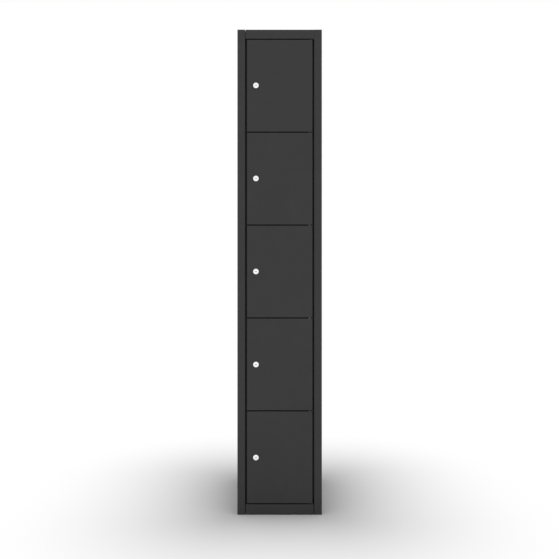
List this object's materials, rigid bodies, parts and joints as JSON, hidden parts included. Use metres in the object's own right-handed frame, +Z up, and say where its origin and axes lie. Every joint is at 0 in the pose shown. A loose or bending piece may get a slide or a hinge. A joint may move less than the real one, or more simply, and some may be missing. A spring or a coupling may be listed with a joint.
{
  "type": "parcel locker",
  "caption": "Tall narrow sheet-steel locker: one column of compartments with flush cam-locked doors on concealed pin hinges.",
  "frame": {"origin": "centre of the footprint, on the floor, midway between the rear edges and the lock faces", "axes": "+Z up, front and doors towards -Y, +X to the right as seen by the user"},
  "size_m": [0.31, 0.4536, 1.78],
  "materials": {
    "powder_coat": "fine-textured satin anthracite powder coat",
    "lock_chrome": "polished plated zinc die casting",
    "zinc_steel": "bright zinc plated",
    "nylon": "natural nylon, matt",
    "rubber": "matt black"
  },
  "bodies": {
    "cabinet": {"side_panel_left": "powder_coat", "side_panel_right": "powder_coat", "upright_left": "powder_coat", "upright_right": "powder_coat", "back_panel": "powder_coat", "top_panel": "powder_coat", "base_panel": "powder_coat", "shelf_1": "powder_coat", "shelf_2": "powder_coat", "shelf_3": "powder_coat", "shelf_4": "powder_coat", "hinge_brackets": "powder_coat", "hinge_pins": "zinc_steel", "door_buffers": "rubber"},
    "door_body_1": {"door_1": "powder_coat", "door_stiffener_1": "powder_coat", "hinge_bushes_1": "nylon", "lock_housing_1": "lock_chrome", "lock_nut_1": "zinc_steel"},
    "lock_rotor_1": {"lock_plug_1": "lock_chrome", "lock_cam_1": "zinc_steel", "cam_screw_1": "zinc_steel"},
    "door_body_2": {"door_2": "powder_coat", "door_stiffener_2": "powder_coat", "hinge_bushes_2": "nylon", "lock_housing_2": "lock_chrome", "lock_nut_2": "zinc_steel"},
    "lock_rotor_2": {"lock_plug_2": "lock_chrome", "lock_cam_2": "zinc_steel", "cam_screw_2": "zinc_steel"},
    "door_body_3": {"door_3": "powder_coat", "door_stiffener_3": "powder_coat", "hinge_bushes_3": "nylon", "lock_housing_3": "lock_chrome", "lock_nut_3": "zinc_steel"},
    "lock_rotor_3": {"lock_plug_3": "lock_chrome", "lock_cam_3": "zinc_steel", "cam_screw_3": "zinc_steel"},
    "door_body_4": {"door_4": "powder_coat", "door_stiffener_4": "powder_coat", "hinge_bushes_4": "nylon", "lock_housing_4": "lock_chrome", "lock_nut_4": "zinc_steel"},
    "lock_rotor_4": {"lock_plug_4": "lock_chrome", "lock_cam_4": "zinc_steel", "cam_screw_4": "zinc_steel"},
    "door_body_5": {"door_5": "powder_coat", "door_stiffener_5": "powder_coat", "hinge_bushes_5": "nylon", "lock_housing_5": "lock_chrome", "lock_nut_5": "zinc_steel"},
    "lock_rotor_5": {"lock_plug_5": "lock_chrome", "lock_cam_5": "zinc_steel", "cam_screw_5": "zinc_steel"}
  },
  "joints": [
    {"name": "door_1_hinge", "type": "hinge", "parent": "cabinet", "child": "door_body_1", "pos_m": [0.1105, -0.21325, 1.57448], "axis": [0, 0, 1], "range_deg": [0, 110]},
    {"name": "lock_1_turn", "type": "hinge", "parent": "door_body_1", "child": "lock_rotor_1", "pos_m": [-0.0869, -0.22325, 1.57448], "axis": [0, 1, 0], "range_deg": [0, 90]},
    {"name": "door_2_hinge", "type": "hinge", "parent": "cabinet", "child": "door_body_2", "pos_m": [0.1105, -0.21325, 1.23354], "axis": [0, 0, 1], "range_deg": [0, 110]},
    {"name": "lock_2_turn", "type": "hinge", "parent": "door_body_2", "child": "lock_rotor_2", "pos_m": [-0.0869, -0.22325, 1.23354], "axis": [0, 1, 0], "range_deg": [0, 90]},
    {"name": "door_3_hinge", "type": "hinge", "parent": "cabinet", "child": "door_body_3", "pos_m": [0.1105, -0.21325, 0.8926], "axis": [0, 0, 1], "range_deg": [0, 110]},
    {"name": "lock_3_turn", "type": "hinge", "parent": "door_body_3", "child": "lock_rotor_3", "pos_m": [-0.0869, -0.22325, 0.8926], "axis": [0, 1, 0], "range_deg": [0, 90]},
    {"name": "door_4_hinge", "type": "hinge", "parent": "cabinet", "child": "door_body_4", "pos_m": [0.1105, -0.21325, 0.55166], "axis": [0, 0, 1], "range_deg": [0, 110]},
    {"name": "lock_4_turn", "type": "hinge", "parent": "door_body_4", "child": "lock_rotor_4", "pos_m": [-0.0869, -0.22325, 0.55166], "axis": [0, 1, 0], "range_deg": [0, 90]},
    {"name": "door_5_hinge", "type": "hinge", "parent": "cabinet", "child": "door_body_5", "pos_m": [0.1105, -0.21325, 0.21072], "axis": [0, 0, 1], "range_deg": [0, 110]},
    {"name": "lock_5_turn", "type": "hinge", "parent": "door_body_5", "child": "lock_rotor_5", "pos_m": [-0.0869, -0.22325, 0.21072], "axis": [0, 1, 0], "range_deg": [0, 90]}
  ]
}
